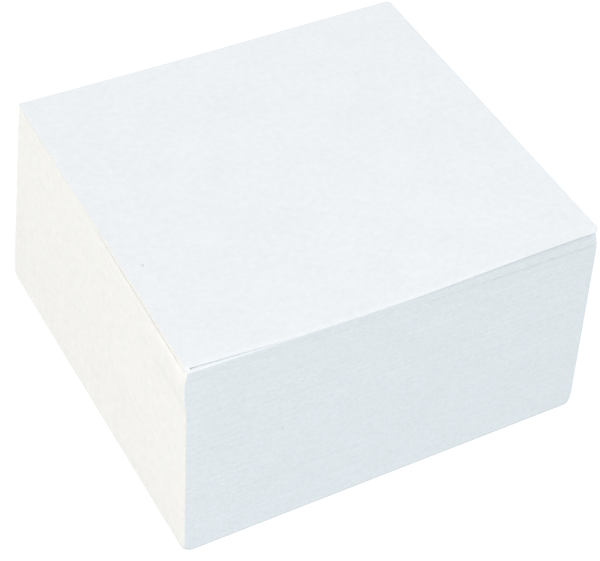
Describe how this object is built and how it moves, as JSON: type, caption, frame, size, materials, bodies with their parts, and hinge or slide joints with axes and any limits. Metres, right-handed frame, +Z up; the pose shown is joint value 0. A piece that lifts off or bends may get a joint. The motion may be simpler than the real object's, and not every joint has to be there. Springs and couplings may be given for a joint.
{
  "type": "memo cube",
  "caption": "Low white cube of square paper note sheets, glued along one side so that single sheets can be pulled off for writing.",
  "frame": {"origin": "centre of the bottom sheet, on the surface that the block stands on", "axes": "+Z up through the stack of sheets; -Y is the front, where the cut edges of the sheets show; -X is the side that the film of padding glue covers"},
  "size_m": [0.0976, 0.0972, 0.0424],
  "materials": {
    "paper": "uncoated white writing paper, cool white, matt",
    "padding_glue": "dried white padding glue, thin film, warm white, eggshell"
  },
  "bodies": {
    "root": {"paper_block": "paper", "glue_edge": "padding_glue"}
  },
  "joints": []
}
